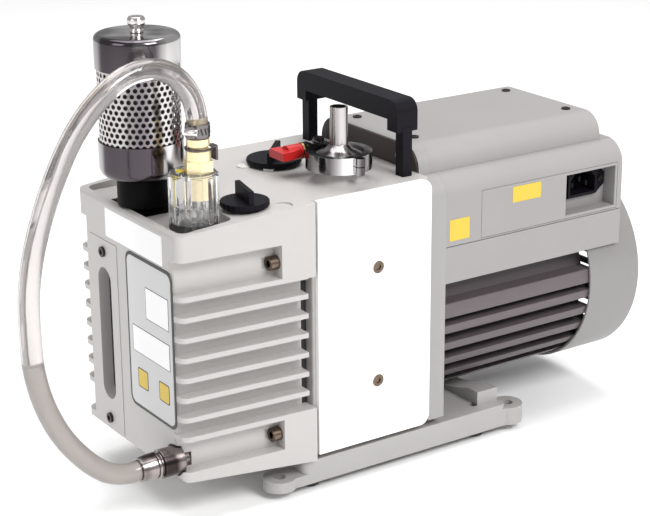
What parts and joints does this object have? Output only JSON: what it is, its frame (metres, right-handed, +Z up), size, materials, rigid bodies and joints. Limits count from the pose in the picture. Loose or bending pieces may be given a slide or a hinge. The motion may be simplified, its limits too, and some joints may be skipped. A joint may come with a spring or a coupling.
{
  "type": "rotary vane vacuum pump",
  "caption": "Bench-top oil-sealed vane vacuum pump with a ribbed oil box, mist filter, clear oil return hose, clamped inlet, carry handle and finned motor.",
  "frame": {"origin": "on the floor under the middle of the pump, without its hose", "axes": "+X from the oil box to the motor's fan, -Y the side with the mains inlet, +Z up"},
  "size_m": [0.5152, 0.158, 0.3405],
  "materials": {
    "white_casting": "satin paint on cast aluminium",
    "white_panel": "semi-gloss paint",
    "grey_casting": "satin paint on cast aluminium",
    "printed_plate": "printed foil",
    "grey_moulding": "fine-grained moulding",
    "fan_cover_steel": "satin paint",
    "frame_aluminium": "painted extrusion",
    "black_plastic": "matte moulding",
    "fan_plastic": "matte moulding",
    "dark_coating": "satin",
    "black_rubber": "matte",
    "steel_fasteners": "zinc plated",
    "yellow_steel": "yellow chromate",
    "dark_steel": "oxidised",
    "stainless": "polished stainless steel",
    "turned_steel": "turned and ground",
    "grey_iron": "machined",
    "vane_composite": "machined composite",
    "brass": "turned",
    "yellow_plastic": "moulded",
    "clear_plastic": "clear polished",
    "clear_hose": "clear soft tube",
    "glass": "clear",
    "filter_wool": "felted",
    "red_plastic": "glossy"
  },
  "bodies": {
    "pump": {"base_plate": "white_casting", "rubber_feet": "black_rubber", "base_bolts": "steel_fasteners", "pump_body": "white_casting", "side_panels": "white_panel", "panel_screws": "steel_fasteners", "adaptor_plate": "dark_coating", "motor_flange": "grey_casting", "oil_box": "white_casting", "oil_box_gasket": "black_rubber", "oil_box_bolts": "yellow_steel", "sight_glass_frame": "white_casting", "sight_glass": "glass", "sight_glass_screws": "dark_steel", "labels": "printed_plate", "drain_coupling": "dark_steel", "return_hose": "clear_hose", "separator_bowl": "clear_plastic", "bowl_stick": "yellow_plastic", "brass_coupling": "brass", "hose_clamp": "steel_fasteners", "filter_neck": "black_plastic", "filter_cup": "stainless", "filter_screen": "stainless", "filter_element": "filter_wool", "filter_rod": "stainless", "service_plugs": "stainless", "inlet_tube": "stainless", "centring_ring": "black_rubber", "clamp_ring": "stainless", "stator_housings": "grey_iron", "stator_plates": "grey_iron", "shaft_seal": "black_rubber", "motor_frame": "frame_aluminium", "motor_bearings": "turned_steel", "motor_stator": "grey_iron", "fan_cover": "fan_cover_steel", "terminal_box": "grey_moulding", "terminal_cover": "grey_moulding", "terminal_door": "grey_moulding", "cover_screws": "steel_fasteners", "power_inlet": "black_plastic"},
    "shaft": {"rotor": "turned_steel", "vanes": "vane_composite", "drive_coupling": "turned_steel", "motor_rotor": "turned_steel", "cooling_fan": "fan_plastic"},
    "ballast": {"ballast_knob": "black_plastic"},
    "filler_washer": {"filler_seal": "black_rubber"},
    "filler": {"filler_plug": "black_plastic"},
    "latch": {"coupling_latch": "steel_fasteners"},
    "lid": {"filter_lid": "stainless"},
    "lid_knob": {"filter_knob": "stainless"},
    "swing_bolt": {"clamp_bolt": "steel_fasteners"},
    "nut_washer": {"clamp_washer": "steel_fasteners"},
    "wing_nut": {"clamp_wing_nut": "red_plastic"},
    "carry_handle": {"handle": "black_plastic"},
    "exhaust_flap": {"exhaust_valve": "turned_steel"},
    "inlet_plate": {"inlet_valve": "vane_composite"},
    "rocker": {"power_switch": "black_plastic"}
  },
  "joints": [
    {"name": "shaft_spin", "type": "hinge", "parent": "pump", "child": "shaft", "pos_m": [0.01, 0, 0.104], "axis": [1, 0, 0], "continuous": true},
    {"name": "ballast_turn", "type": "hinge", "parent": "pump", "child": "ballast", "pos_m": [-0.058, 0.017, 0.22], "axis": [0, 0, 1], "range_deg": [0, 120]},
    {"name": "filler_rise", "type": "slide", "parent": "pump", "child": "filler_washer", "axis": [0, 0, 1], "range_m": [0, 0.0076]},
    {"name": "filler_turn", "type": "hinge", "parent": "filler_washer", "child": "filler", "pos_m": [-0.126, -0.053, 0.216], "axis": [0, 0, 1], "range_deg": [0, 900]},
    {"name": "lid_lift", "type": "slide", "parent": "pump", "child": "lid", "axis": [0, 0, 1], "range_m": [0, 0.0025]},
    {"name": "lid_knob_turn", "type": "hinge", "parent": "lid", "child": "lid_knob", "pos_m": [-0.1705, 0.008, 0.33], "axis": [0, 0, 1], "range_deg": [0, 721]},
    {"name": "latch_press", "type": "slide", "parent": "pump", "child": "latch", "axis": [-1, 0, 0], "range_m": [0, 0.0015], "stiffness_N_per_m": 900},
    {"name": "bolt_swing", "type": "hinge", "parent": "pump", "child": "swing_bolt", "pos_m": [-0.0395, -0.014, 0.2335], "axis": [0, 0, -1], "range_deg": [0, 100]},
    {"name": "washer_slide", "type": "slide", "parent": "swing_bolt", "child": "nut_washer", "axis": [-1, 0, 0], "range_m": [0, 0.004]},
    {"name": "nut_turn", "type": "hinge", "parent": "nut_washer", "child": "wing_nut", "pos_m": [-0.06, -0.014, 0.2335], "axis": [-1, 0, 0], "range_deg": [0, 1441]},
    {"name": "handle_slide", "type": "slide", "parent": "pump", "child": "carry_handle", "axis": [0, 0, 1], "range_m": [-0.02, 0]},
    {"name": "exhaust_lift", "type": "slide", "parent": "pump", "child": "exhaust_flap", "axis": [0, 0, 1], "range_m": [0, 0.0015], "stiffness_N_per_m": 300},
    {"name": "inlet_lift", "type": "slide", "parent": "pump", "child": "inlet_plate", "axis": [0, 0, 1], "range_m": [0, 0.004]},
    {"name": "switch_rock", "type": "hinge", "parent": "pump", "child": "rocker", "pos_m": [0.11, 0.0743, 0.181], "axis": [0, 0, 1], "range_deg": [0, 20]}
  ],
  "couplings": [
    {"joint": "filler_rise", "follows": "filler_turn", "m_per_rad": 0.00047746},
    {"joint": "lid_knob_turn", "follows": "lid_lift", "rad_per_m": 5026.5},
    {"joint": "nut_turn", "follows": "washer_slide", "rad_per_m": 6283.2}
  ]
}
